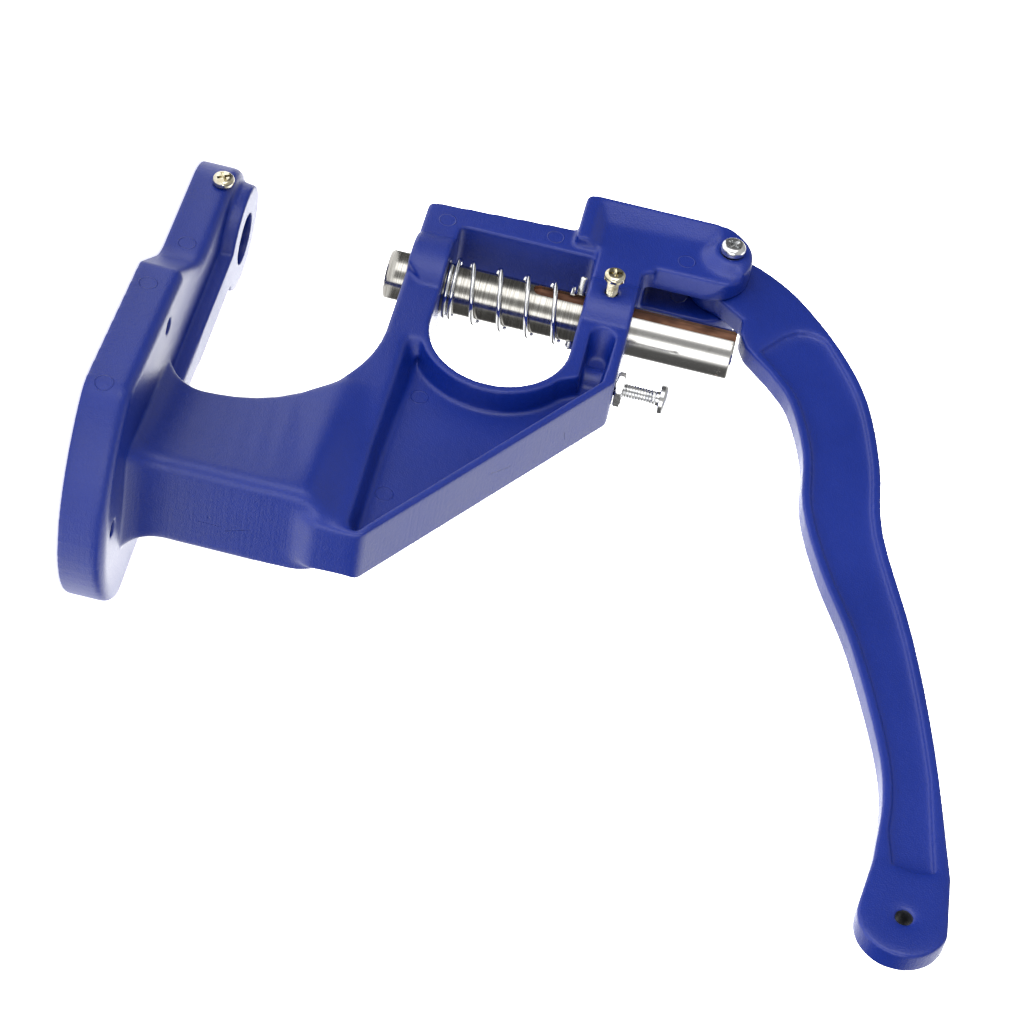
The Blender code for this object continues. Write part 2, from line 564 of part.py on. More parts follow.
def lever_recess_outline():
    """Side view of the long shallow recess, LEVER_BORDER inside the lever's edges."""
    outer = smooth_curve([(-16.0, 208.6)] + list(LEVER_OUTER_EDGE[3:]))
    inner = smooth_curve(list(LEVER_INNER_EDGE) + [(3.3, 188.2), (-2.5, 183.0)])
    first = inset_edge(outer, LEVER_BORDER)[1:-2]
    second = inset_edge(inner, LEVER_BORDER)[1:-1]
    return first + LEVER_RECESS_FAR_END + second + LEVER_RECESS_NOSE


def lever(material, parent):
    arm = prism("lever", lever_outline(), "X", -LEVER_HALF_THICKNESS, LEVER_HALF_THICKNESS)
    for side in (-1, 1):
        low, high = sorted((side * (LEVER_HALF_THICKNESS - LEVER_RECESS_DEPTH), side * 10.0))
        cut(arm, prism("recess", lever_recess_outline(), "X", low, high))
    cut(arm, rod("pivot_hole", PIVOT_BOLT_RADIUS + GAP, (-CLEAR, PIVOT_Y, PIVOT_Z),
                   (CLEAR, PIVOT_Y, PIVOT_Z), 20))
    cut(arm, rod("pad_hole", PAD_HOLE_RADIUS, (-20.0, PAD_Y, PAD_Z), (20.0, PAD_Y, PAD_Z), 20))
    return finish(arm, material, (0.0, PIVOT_Y, PIVOT_Z), parent)


# ---------------------------------------------------------------- screws

def screw(name, tip, head_seat, shank_radius, head_radius, head_height, material, parent=None):
    """A pan-head screw from its tip to the seat of its head."""
    span = Vector(head_seat) - Vector(tip)
    length = span.length
    tip_radius = shank_radius * 0.7
    profile = ((tip_radius, 0.0), (shank_radius, 0.5), (shank_radius, length), (head_radius, length),
               (head_radius, length + head_height * 0.35), (head_radius * 0.88, length + head_height * 0.75),
               (head_radius * 0.5, length + head_height))
    piece = turned(name, profile, tip, span, 20)
    return finish(piece, material, head_seat, parent)


def hex_nut(name, centre, direction, radius, thickness, bore, material):
    """A hexagonal nut with chamfered corners, from its seat outwards."""
    axis = Vector(direction).normalized()
    start = Vector(centre)
    turn = axis.to_track_quat("Z", "Y")
    corners = []
    for level in (0.0, thickness):
        ring = []
        for i in range(6):
            angle = math.pi / 3 * i
            ring.append(start + turn @ Vector((radius * math.cos(angle), radius * math.sin(angle), level)))
        corners.append(ring)
    nut = solid(name, skin(corners))
    cut(nut, rod("nut_bore", bore, start - axis * 5.0, start + axis * (thickness + 5.0), 20))
    return finish(nut, material, centre)


def joint_empty(name, position):
    empty = bpy.data.objects.new(name, None)
    empty.empty_display_size = 0.01
    empty.location = Vector(position) * MM
    bpy.context.scene.collection.objects.link(empty)
    return empty


def attach(piece, parent):
    """Parent a piece without moving it."""
    piece.parent = parent
    piece.location = piece.location - parent.location


def build():
    for thing in list(bpy.data.objects):
        bpy.data.objects.remove(thing)

    blue = paint("frame_paint", (0.035, 0.055, 0.30), 0.45, 0.0)
    lever_blue = paint("lever_paint", (0.035, 0.055, 0.30), 0.45, 0.0)
    ground_steel = paint("ground_steel", (0.62, 0.61, 0.58), 0.25, 1.0)
    spring_steel = paint("spring_steel", (0.75, 0.75, 0.75), 0.25, 1.0)
    pin_steel = paint("pin_steel", (0.70, 0.70, 0.68), 0.25, 1.0)
    yellow_zinc = paint("yellow_zinc", (0.72, 0.68, 0.50), 0.30, 1.0)
    clamp_zinc = paint("clamp_zinc", (0.72, 0.68, 0.50), 0.30, 1.0)
    white_zinc = paint("white_zinc", (0.78, 0.78, 0.78), 0.30, 1.0)
    stop_zinc = paint("stop_zinc", (0.75, 0.75, 0.75), 0.30, 1.0)
    nut_zinc = paint("nut_zinc", (0.70, 0.70, 0.70), 0.35, 1.0)

    frame_casting(blue)
    ram_slide = joint_empty("ram_slide_origin", (0.0, 0.0, RAM_BOTTOM))
    attach(ram(ground_steel, None), ram_slide)
    attach(cross_pin(pin_steel, None), ram_slide)
    return_spring(spring_steel)
    lever(lever_blue, None)

    pivot_seat = PIVOT_BOSS_X + GAP
    nut_seat = -pivot_seat
    screw("pivot_bolt", (nut_seat - PIVOT_NUT_THICKNESS - PIVOT_BOLT_TAIL, PIVOT_Y, PIVOT_Z),
          (pivot_seat, PIVOT_Y, PIVOT_Z), PIVOT_BOLT_RADIUS, PIVOT_HEAD_RADIUS, PIVOT_HEAD_HEIGHT, white_zinc)
    hex_nut("pivot_nut", (nut_seat, PIVOT_Y, PIVOT_Z), (-1.0, 0.0, 0.0), PIVOT_NUT_RADIUS,
            PIVOT_NUT_THICKNESS, PIVOT_BOLT_RADIUS + GAP, nut_zinc)

    screw("guide_screw", (KEYWAY_FLOOR_X + GAP, GUIDE_SCREW_Y, GUIDE_SCREW_Z),
          (GUIDE_SCREW_HEAD_X, GUIDE_SCREW_Y, GUIDE_SCREW_Z), GUIDE_SCREW_RADIUS,
          PAN_HEAD_RADIUS, PAN_HEAD_HEIGHT, yellow_zinc)
    screw("die_clamp_screw", (CLAMP_SCREW_TIP_X, 0.0, CLAMP_SCREW_Z), (CLAMP_SCREW_HEAD_X, 0.0, CLAMP_SCREW_Z),
          CLAMP_SCREW_RADIUS, PAN_HEAD_RADIUS, PAN_HEAD_HEIGHT, clamp_zinc)
    screw("stop_screw", (0.0, STOP_SCREW_Y, STOP_SCREW_TIP), (0.0, STOP_SCREW_Y, STOP_SCREW_HEAD_Z),
          STOP_SCREW_RADIUS, STOP_HEAD_RADIUS, STOP_HEAD_HEIGHT, stop_zinc)
    hex_nut("stop_lock_nut", (0.0, STOP_SCREW_Y, HEAD_TOP + GAP), (0.0, 0.0, 1.0), LOCK_NUT_RADIUS,
            LOCK_NUT_THICKNESS, STOP_SCREW_RADIUS + GAP, nut_zinc)


build()
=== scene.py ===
"""Looks of the bench arbor press: fine castings, ground ram, wound spring, real screws and their finishes."""
import math

import bpy
import bmesh
from mathutils import Matrix, Vector


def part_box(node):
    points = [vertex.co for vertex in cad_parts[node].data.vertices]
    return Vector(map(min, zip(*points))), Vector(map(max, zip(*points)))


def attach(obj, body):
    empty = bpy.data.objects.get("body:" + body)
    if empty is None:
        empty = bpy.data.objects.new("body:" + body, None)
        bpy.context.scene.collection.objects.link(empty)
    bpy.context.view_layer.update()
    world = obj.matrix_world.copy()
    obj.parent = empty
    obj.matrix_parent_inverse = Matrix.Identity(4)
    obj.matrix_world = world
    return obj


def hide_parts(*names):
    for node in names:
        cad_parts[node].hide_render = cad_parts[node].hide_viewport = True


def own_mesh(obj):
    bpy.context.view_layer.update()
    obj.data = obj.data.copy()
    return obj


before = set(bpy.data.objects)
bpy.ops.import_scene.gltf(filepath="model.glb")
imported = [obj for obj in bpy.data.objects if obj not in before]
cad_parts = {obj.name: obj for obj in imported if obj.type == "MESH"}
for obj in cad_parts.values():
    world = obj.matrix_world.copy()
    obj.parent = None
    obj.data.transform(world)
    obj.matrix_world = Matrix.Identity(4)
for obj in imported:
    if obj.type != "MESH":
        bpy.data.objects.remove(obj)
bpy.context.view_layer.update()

MM = 0.001

# cast skins: the grid, and the smoothing passes of the whole and of each blended stretch
VOXEL = 0.00055
SMOOTH_PASSES = 12
BLEND_PASSES = 70
DISH_PASSES = 30
RECESS_PASSES = 90
BORE_REACH = 9.2 * MM          # what lies nearer the ram's axis is a bore's wall
BORE_SHARE = 0.12

# marks on the castings, in mm: ejector rings as (y, z), chips as (start, end, width)
RING_CENTRES = ((30.7, 6.7), (72.3, 5.1), (119.8, 5.5), (-20.2, 80.3), (-24.3, 115.3), (-25.9, 158.2),
                (52.8, 88.1), (96.1, 87.0))
RING_RADIUS, RING_WIDTH = 2.7, 0.28
CHIPS = (((1.8, 77.8, 115.8), (-0.6, 70.1, 121.1), 0.24), ((0.1, 51.3, 134.0), (-4.3, 50.2, 134.8), 0.22),
         ((-5.1, 119.5, 44.6), (-2.0, 119.5, 52.0), 0.07), ((-3.6, 119.5, 36.0), (-3.7, 119.5, 43.6), 0.07))
PAD_Y, PAD_Z = 205.8 * MM, 258.9 * MM
PAD_HOLE_REACH, PAD_HOLE_HALF_DEPTH = 2.75 * MM, 3.4 * MM

# ram, pin and spring
KEYWAY_HALF_WIDTH = 2.4 * MM
KEYWAY_Y, KEYWAY_FLOOR_X, KEYWAY_LOW = -0.6 * MM, 6.2 * MM, 113.0 * MM
# the first height is where the ram's painted shade ends: the bar is painted darker below it, inside the frame
SHADE_TOP, RUST_FROM = 148.0 * MM, 168.0 * MM
PIN_LENGTH, PIN_HOLE_RADIUS = 24.0 * MM, 1.6 * MM
SPRING_WIRE, SPRING_CLOSED_GAP = 0.75 * MM, 0.35 * MM
CLOSED_TURNS, OPEN_TURNS, TOP_TURNS = 1.5, 4.0, 0.5

# screws, as (width, span, depth) of the driver's recess
SMALL_CROSS = (1.05 * MM, 2.4 * MM, 1.7 * MM)
BOLT_CROSS = (1.2 * MM, 2.8 * MM, 2.0 * MM)
STOP_CROSS = (1.3 * MM, 3.0 * MM, 1.9 * MM)

# floor and world: levels of light round the horizon and above it, as (azimuth in degrees, level)
FLOOR_RADIUS, FLOOR_TOP, FLOOR_BOTTOM = 0.42, -0.0004, -0.004
RIM_OF_LIGHT = ((-133, 5.2), (-118, 4.0), (-106, 0.45), (-88, 0.16), (-40, 0.16), (-30, 0.25), (-18, 0.8),
                (-11, 3.2), (2, 3.6), (20, 3.4), (28, 0.9), (36, 0.50), (52, 0.50), (60, 1.1), (67, 3.4),
                (94, 3.2), (104, 0.9), (114, 0.24), (122, 0.15), (176, 0.13), (188, 0.30), (202, 2.0),
                (212, 4.2), (227, 5.2))
SKY_OF_LIGHT = ((-133, 1.5), (-110, 0.9), (-80, 0.55), (40, 0.6), (120, 0.55), (150, 1.2), (175, 2.3),
                (215, 2.3), (227, 1.5))
FIRST_AZIMUTH = -133
BRIGHTEST = 5.2
SKY_START, SKY_FULL = 0.24, 0.42
WORLD_STRENGTH = 0.9

# camera: a long lens beside the press, rolled so that the press lies on its side
CAMERA_AT = Vector((0.70155, 0.74913, 0.16456))
CAMERA_FORWARD = Vector((-0.72782, -0.68456, -0.04074))
CAMERA_RIGHT = Vector((0.13239, -0.19855, 0.97111))
CAMERA_LENS = 112.75
CAMERA_SENSOR = 36.0


# ---------------------------------------------------------------- meshes

def new_object(name, data):
    """An object from a bmesh, its doubles merged and its faces turned outwards."""
    bmesh.ops.remove_doubles(data, verts=data.verts, dist=1e-7)
    bmesh.ops.recalc_face_normals(data, faces=data.faces)
    mesh = bpy.data.meshes.new(name)
    data.to_mesh(mesh)
    data.free()
    thing = bpy.data.objects.new(name, mesh)
    bpy.context.scene.collection.objects.link(thing)
    return thing


def skin(rings):
    """A closed bmesh through rings of equal length."""
    data = bmesh.new()
    rows = [[data.verts.new(p) for p in ring] for ring in rings]
    count = len(rows[0])
    for low, high in zip(rows, rows[1:]):
        for i in range(count):
            j = (i + 1) % count
            data.faces.new((low[i], low[j], high[j], high[i]))
    data.faces.new(rows[0][::-1])
    data.faces.new(rows[-1])
    return data


def turned(name, profile, base, direction, sides):
    """A solid of revolution from (radius, distance) pairs in metres."""
    turn = Vector(direction).to_track_quat("Z", "Y")
    rings = []
    for radius, along in profile:
        ring = []
        for i in range(sides):
            angle = 2 * math.pi * i / sides
            place = Vector((radius * math.cos(angle), radius * math.sin(angle), along))
            ring.append(Vector(base) + turn @ place)
        rings.append(ring)
    return new_object(name, skin(rings))


def applied(thing):
    """Replace the object's mesh by the result of its modifiers."""
    bpy.context.view_layer.update()
    graph = bpy.context.evaluated_depsgraph_get()
    mesh = bpy.data.meshes.new_from_object(thing.evaluated_get(graph))
    thing.modifiers.clear()
    thing.data = mesh
    return thing


def combine(target, tool, operation):
    """An exact boolean of target with tool, which is used up."""
    modifier = target.modifiers.new(operation, "BOOLEAN")
    modifier.operation = operation
    modifier.object = tool
    modifier.solver = "EXACT"
    applied(target)
    bpy.data.objects.remove(tool)
    return target


def shade(thing, angle):
    """Smooth shading, with edges sharper than the angle kept crisp."""
    thing.data.shade_smooth()
    thing.data.set_sharp_from_angle(angle=math.radians(angle))
    return thing


def soften(thing, passes, weight=None):
    """Smooth the mesh; weight(place, normal) from 0 to 1 says how much each vertex follows."""
    smooth = thing.modifiers.new("smooth", "SMOOTH")
    smooth.factor = 0.5
    smooth.iterations = passes
    if weight is not None:
        group = thing.vertex_groups.new(name="soft")
        for vertex in thing.data.vertices:
            share = weight(vertex.co, vertex.normal)
            if share > 0.0:
                group.add([vertex.index], min(share, 1.0), "REPLACE")
        smooth.vertex_group = group.name
    applied(thing)
    thing.vertex_groups.clear()
    return thing


def cast_skin(name, node, regions):
    """A fine skin over a CAD casting, with its edges and inside corners rounded as a casting's are."""
    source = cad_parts[node]
    thing = bpy.data.objects.new(name, source.data.copy())
    bpy.context.scene.collection.objects.link(thing)
    remesh = thing.modifiers.new("remesh", "REMESH")
    remesh.mode = "VOXEL"
    remesh.voxel_size = VOXEL
    applied(thing)
    for passes, weight in regions:
        soften(thing, passes, weight)
    thing.data.shade_smooth()
    return thing


def fade(value, start, end):
    """0 at start and 1 at end, with a smooth step between."""
    t = min(max((value - start) / (end - start), 0.0), 1.0)
    return t * t * (3 - 2 * t)


def band(value, start, full, fall, end):
    """1 between full and fall, and 0 outside start and end."""
    return fade(value, start, full) * fade(value, end, fall)


def outside_bores(place, normal):
    """Full smoothing but for the bores, which keep their size."""
    return BORE_SHARE if math.hypot(place.x, place.y) < BORE_REACH else 1.0


def column_blends(place, normal):
    """The column's foot, its taper into the spine, and the slope down to the web."""
    x, y, z = abs(place.x) / MM, place.y / MM, place.z / MM
    foot = band(z, 14.4, 16.5, 22.0, 30.0) * fade(y, 52.0, 58.0)
    taper = band(z, 56.0, 64.0, 82.0, 86.0) * fade(y, 58.0, 64.0)
    slope = band(z, 72.0, 77.0, 82.5, 84.5) * fade(y, 30.0, 38.0) * fade(x, 1.0, 3.0)
    return max(foot, taper, slope)


def dish_blends(place, normal):
    """The ear's dish and the slope of its pivot boss."""
    x, y, z = abs(place.x) / MM, place.y / MM, place.z / MM
    return fade(x, 9.5, 10.5) * band(y, -43.6, -42.0, -23.0, -19.0) * fade(z, 122.5, 124.5)


def recess_blends(place, normal):
    """The lever's side faces, but for a narrow border along its outline."""
    return fade(abs(normal.x), 0.55, 0.9) * fade(abs(place.x), 1.0 * MM, 1.6 * MM)


def dress(thing, material, body, slot, *nodes):
    """Material, body, slot and the CAD nodes that the piece stands for; the slot is not used."""
    thing.data.materials.clear()
    thing.data.materials.append(material)
    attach(thing, body)
    if nodes:
        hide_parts(*nodes)
    return thing


# ---------------------------------------------------------------- node materials

class Nodes:
    """A small wrapper that keeps node trees readable."""

    def __init__(self, name):
        self.material = bpy.data.materials.new(name)
        self.material.use_nodes = True
        self.tree = self.material.node_tree
        self.shader = self.tree.nodes["Principled BSDF"]
        coordinates = self.tree.nodes.new("ShaderNodeTexCoord")
        self.where = coordinates.outputs["Object"]

    def put(self, socket, value):
        if isinstance(value, bpy.types.NodeSocket):
            self.tree.links.new(value, socket)
        else:
            socket.default_value = value

    def math(self, operation, a, b=0.0):
        node = self.tree.nodes.new("ShaderNodeMath")
        node.operation = operation
        self.put(node.inputs[0], a)
        self.put(node.inputs[1], b)
        return node.outputs[0]

    def vector(self, operation, a, b):
        node = self.tree.nodes.new("ShaderNodeVectorMath")
        node.operation = operation
        self.put(node.inputs[0], a)
        self.put(node.inputs[1], b)
        return node.outputs["Value"] if operation in {"DISTANCE", "DOT_PRODUCT"} else node.outputs[0]

    def noise(self, scale, detail=3.0, stretch=(1.0, 1.0, 1.0), roughness=0.5):
        node = self.tree.nodes.new("ShaderNodeTexNoise")
        self.put(node.inputs["Vector"], self.vector("MULTIPLY", self.where, stretch))
        node.inputs["Scale"].default_value = scale
        node.inputs["Detail"].default_value = detail
        node.inputs["Roughness"].default_value = roughness
        return node.outputs["Fac"]

    def spots(self, scale):
        node = self.tree.nodes.new("ShaderNodeTexVoronoi")
        self.put(node.inputs["Vector"], self.where)
        node.inputs["Scale"].default_value = scale
        return node.outputs["Distance"]

    def ramp(self, value, low, high, out_low=0.0, out_high=1.0):
        node = self.tree.nodes.new("ShaderNodeMapRange")
        node.interpolation_type = "SMOOTHSTEP"
        self.put(node.inputs["Value"], value)
        node.inputs["From Min"].default_value = low
        node.inputs["From Max"].default_value = high
        node.inputs["To Min"].default_value = out_low
        node.inputs["To Max"].default_value = out_high
        return node.outputs["Result"]

    def mix(self, factor, a, b):
        node = self.tree.nodes.new("ShaderNodeMix")
        node.data_type = "RGBA"
        self.put(node.inputs[0], factor)
        self.put(node.inputs[6], a)
        self.put(node.inputs[7], b)
        return node.outputs[2]

    def parts(self, vector):
        node = self.tree.nodes.new("ShaderNodeSeparateXYZ")
        self.put(node.inputs[0], vector)
        return node.outputs

    def normal(self):
        return self.tree.nodes.new("ShaderNodeNewGeometry").outputs["Normal"]

    def bump(self, height, distance, strength=1.0, under=None):
        node = self.tree.nodes.new("ShaderNodeBump")
        node.inputs["Strength"].default_value = strength
        node.inputs["Distance"].default_value = distance
        self.put(node.inputs["Height"], height)
        if under is not None:
            self.put(node.inputs["Normal"], under)
        return node.outputs["Normal"]

    def set(self, **values):
        names = {"color": "Base Color", "roughness": "Roughness", "metallic": "Metallic", "normal": "Normal",
                 "specular": "Specular IOR Level"}
        for key, value in values.items():
            self.put(self.shader.inputs[names[key]], value)
        return self.material


def rgb(r, g, b):
    return (r, g, b, 1.0)


def ejector_rings(nodes, centres):
    """Height of the faint circles that the die's ejector pins leave: 1 on a ring, 0 elsewhere."""
    total = None
    for y, z in centres:
        flat = nodes.vector("MULTIPLY", nodes.where, (0.0, 1.0, 1.0))
        distance = nodes.vector("DISTANCE", flat, (0.0, y * MM, z * MM))
        off = nodes.math("ABSOLUTE", nodes.math("SUBTRACT", distance, RING_RADIUS * MM))
        ring = nodes.ramp(off, 0.0, RING_WIDTH * MM, 1.0, 0.0)
        total = ring if total is None else nodes.math("MAXIMUM", total, ring)
    return total


def chip_marks(nodes, chips):
    """1 inside the short scratches and chips between pairs of points, 0 elsewhere."""
    total = None
    for start, end, width in chips:
        a = Vector(start) * MM
        span = Vector(end) * MM - a
        from_start = nodes.vector("SUBTRACT", nodes.where, tuple(a))
        share = nodes.vector("DOT_PRODUCT", from_start, tuple(span))
        share = nodes.math("DIVIDE", share, span.length_squared)
        share = nodes.math("MINIMUM", nodes.math("MAXIMUM", share, 0.0), 1.0)
        along = nodes.tree.nodes.new("ShaderNodeVectorMath")
        along.operation = "SCALE"
        along.inputs[0].default_value = tuple(span)
        nodes.put(along.inputs["Scale"], share)
        distance = nodes.vector("DISTANCE", from_start, along.outputs[0])
        wobble = nodes.math("MULTIPLY", nodes.noise(900.0, 3.0), width * MM * 1.6)
        near, far = width * MM * 0.8, width * MM * 1.25
        mark = nodes.ramp(nodes.math("ADD", distance, wobble), near, far, 1.0, 0.0)
        total = mark if total is None else nodes.math("MAXIMUM", total, mark)
    return total


def blue_coat(name, ring_centres=(), striations=True, chips=()):
    """Satin blue powder coat over a casting: orange peel, fine grain, small pits and linished backs."""
    n = Nodes(name)
    cloud = n.noise(22.0, 4.0)
    speck = n.noise(2600.0, 2.0)
    tone = n.mix(n.ramp(cloud, 0.3, 0.7), rgb(0.0025, 0.0190, 0.215), rgb(0.0035, 0.0225, 0.250))
    tone = n.mix(n.ramp(speck, 0.55, 0.78, 0.0, 0.35), tone, rgb(0.008, 0.034, 0.32))
    peel = n.noise(900.0, 1.5)
    grain = n.noise(2300.0, 2.0)
    height = n.math("ADD", n.math("MULTIPLY", peel, 0.35), n.math("MULTIPLY", grain, 0.65))
    normal = n.bump(height, 0.00022, 0.75)
    if striations:
        facing = n.ramp(n.parts(n.normal())[1], 0.45, 0.6)
        facing = n.math("MULTIPLY", facing, n.ramp(n.parts(n.where)[1], 0.024, 0.030))
        lines = n.noise(60.0, 3.0, (0.5, 22.0, 22.0))
        normal = n.bump(n.math("MULTIPLY", lines, facing), 0.00012, 0.5, normal)
    pits = n.ramp(n.spots(55.0), 0.0, 0.035, 1.0, 0.0)
    pits = n.math("MULTIPLY", pits, n.ramp(n.noise(30.0), 0.55, 0.62))
    normal = n.bump(n.math("MULTIPLY", pits, -1.0), 0.0002, 0.8, normal)
    if ring_centres:
        normal = n.bump(ejector_rings(n, ring_centres), 0.00016, 1.0, normal)
    if chips:
        marks = chip_marks(n, chips)
        tone = n.mix(n.math("MULTIPLY", marks, 0.7), tone, rgb(0.006, 0.010, 0.05))
        normal = n.bump(n.math("MULTIPLY", marks, -1.0), 0.0003, 1.0, normal)
    rough = n.ramp(cloud, 0.25, 0.75, 0.33, 0.40)
    return n.set(color=tone, roughness=rough, normal=normal, specular=0.5)


def bright_steel(name, colour, rust_from=None, roughness=(0.16, 0.26), shade_to=None):
    """Ground bar: fine rings, cloudy polish, a darker tone painted as shade below the given height, and rust above
    rust_from.
    """
    n = Nodes(name)
    rings = n.noise(90.0, 4.0, (1.0, 1.0, 60.0))
    cloud = n.noise(140.0, 4.0)
    tone = n.mix(n.ramp(cloud, 0.3, 0.75), rgb(*colour), rgb(*[c * 0.86 for c in colour]))
    if shade_to is not None:
        # painted shade: the bar is painted darker below this height, where the frame closes round it
        dark = n.mix(n.ramp(rings, 0.3, 0.7), rgb(0.23, 0.22, 0.20), rgb(0.44, 0.43, 0.40))
        painted_shade = n.ramp(n.parts(n.where)[2], shade_to - 14.0 * MM, shade_to)
        tone = n.mix(painted_shade, dark, tone)
    rough = n.math("ADD", n.ramp(cloud, 0.3, 0.7, *roughness), n.math("MULTIPLY", rings, 0.06))
    metallic = 1.0
    if rust_from is not None:
        zone = n.ramp(n.parts(n.where)[2], rust_from, rust_from + 6.0 * MM)
        rust = n.math("MULTIPLY", n.ramp(n.noise(420.0, 5.0, roughness=0.65), 0.56, 0.68), zone)
        rust = n.math("MULTIPLY", rust, n.ramp(n.noise(95.0, 2.0), 0.5, 0.6))
        stains = n.math("MULTIPLY", n.ramp(n.noise(260.0, 4.0), 0.55, 0.8), 0.45)
        tone = n.mix(stains, tone, rgb(0.36, 0.34, 0.30))
        tone = n.mix(rust, tone, rgb(0.16, 0.075, 0.04))
        rough = n.math("ADD", rough, n.math("MULTIPLY", rust, 0.35))
        metallic = n.math("SUBTRACT", 1.0, n.math("MULTIPLY", rust, 0.8))
    normal = n.bump(rings, 0.00001, 0.35)
    return n.set(color=tone, roughness=rough, metallic=metallic, normal=normal)


def brown_grease(name):
    """Old grease with rust in it, thicker in patches."""
    n = Nodes(name)
    patch = n.noise(380.0, 5.0, (1.0, 1.0, 0.35))
    tone = n.mix(n.ramp(patch, 0.35, 0.7), rgb(0.085, 0.030, 0.014), rgb(0.21, 0.095, 0.05))
    normal = n.bump(patch, 0.0002, 0.7)
    rough = n.ramp(patch, 0.3, 0.7, 0.35, 0.6)
    return n.set(color=tone, roughness=rough, normal=normal, metallic=0.25)


def plated(name, light, tint, roughness):
    """Zinc plate: cloudy tint, fine grain and slightly uneven polish."""
    n = Nodes(name)
    cloud = n.noise(520.0, 4.0)
    tone = n.mix(n.ramp(cloud, 0.35, 0.65), rgb(*light), rgb(*tint))
    grain = n.noise(3800.0, 2.0)
    normal = n.bump(grain, 0.00002, 0.5)
    rough = n.ramp(cloud, 0.3, 0.7, *roughness)
    return n.set(color=tone, roughness=rough, metallic=1.0, normal=normal)


def bore_wall_painted_shade(name):
    """Unpainted, tapped wall of a small hole, painted near black as the shade inside the hole."""
    n = Nodes(name)
    threads = n.noise(700.0, 2.0, (4.0, 1.0, 1.0))
    tone = n.mix(n.ramp(threads, 0.4, 0.6), rgb(0.008, 0.009, 0.014), rgb(0.03, 0.032, 0.04))
    rough = n.ramp(threads, 0.3, 0.7, 0.5, 0.7)
    return n.set(color=tone, roughness=rough, normal=n.bump(threads, 0.0002, 0.6))


# ---------------------------------------------------------------- pieces

ram_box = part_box("ram")
RAM_RADIUS = (ram_box[1].y - ram_box[0].y) / 2
RAM_LOW, RAM_HIGH = ram_box[0].z, ram_box[1].z


def pin_line():
    """Middle and direction of the pin through the ram, from its node's box."""
    low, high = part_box("spring_cross_pin")
    return (low + high) / 2, Vector((high.x - low.x, low.y - high.y, 0.0)).normalized()


def make_ram():
    """Ground bar with chamfered ends and a round-ended keyway whose faces hold brown grease."""
    chamfer = 0.7 * MM
    length = RAM_HIGH - RAM_LOW
    inner = RAM_RADIUS - chamfer
    profile = [(0.6 * MM, 0.0), (inner, 0.0), (RAM_RADIUS - 0.1 * MM, chamfer * 0.8),
               (RAM_RADIUS, chamfer * 1.3)]
    steps = 40
    for i in range(1, steps):
        profile.append((RAM_RADIUS, chamfer * 1.3 + (length - 2.6 * chamfer) * i / steps))
    profile += [(RAM_RADIUS, length - chamfer * 1.3), (RAM_RADIUS - 0.1 * MM, length - chamfer * 0.8),
                (inner, length), (0.6 * MM, length)]
    bar = turned("ram_bar", profile, (0.0, 0.0, RAM_LOW), (0.0, 0.0, 1.0), 144)
    half, above, outside = KEYWAY_HALF_WIDTH, RAM_HIGH + 5 * MM, 12 * MM
    outline = []
    arc_steps = 16
    for i in range(arc_steps + 1):
        angle = math.pi + math.pi * i / arc_steps
        outline.append((KEYWAY_Y + half * math.cos(angle), KEYWAY_LOW + half + half * math.sin(angle)))
    outline += [(KEYWAY_Y + half, above), (KEYWAY_Y - half, above)]
    rings = [[(x, y, z) for y, z in outline] for x in (KEYWAY_FLOOR_X, outside)]
    combine(bar, new_object("keyway", skin(rings)), "DIFFERENCE")
    pin_middle, along = pin_line()
    reach = 20 * MM
    start = Vector((0, 0, pin_middle.z)) - along * reach
    hole = turned("hole", ((PIN_HOLE_RADIUS, 0.0), (PIN_HOLE_RADIUS, 2 * reach)), start, along, 32)
    combine(bar, hole, "DIFFERENCE")
    shade(bar, 28.0)
    steel = bright_steel("ground_bar", (0.60, 0.59, 0.57), RUST_FROM, (0.10, 0.18), SHADE_TOP)
    dress(bar, steel, "ram", "ground_steel", "ram")
    bar.data.materials.append(brown_grease("keyway_grease"))
    for face in bar.data.polygons:
        x, y, z = face.center
        between = abs(y - KEYWAY_Y) < half + 0.05 * MM and KEYWAY_LOW - 0.1 * MM < z < RAM_HIGH - 0.05 * MM
        if between and x > KEYWAY_FLOOR_X - 0.1 * MM and math.hypot(x, y) < RAM_RADIUS - 0.25 * MM:
            face.material_index = 1


def make_pin():
    """The pin through the ram, with domed ends."""
    low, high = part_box("spring_cross_pin")
    radius = (high.z - low.z) / 2
    centre, along = pin_line()
    profile = []
    dome_steps = 6
    for i in range(dome_steps + 1):
        angle = math.pi / 2 * i / dome_steps
        profile.append((max(radius * math.sin(angle), 0.15 * MM), radius * 0.8 * (1 - math.cos(angle))))
    profile += [(r, PIN_LENGTH - a) for r, a in reversed(profile)]
    pin = turned("cross_pin", profile, centre - along * PIN_LENGTH / 2, along, 40)
    shade(pin, 50.0)
    dress(pin, bright_steel("bright_pin", (0.74, 0.74, 0.72)), "ram", "pin_steel", "spring_cross_pin")


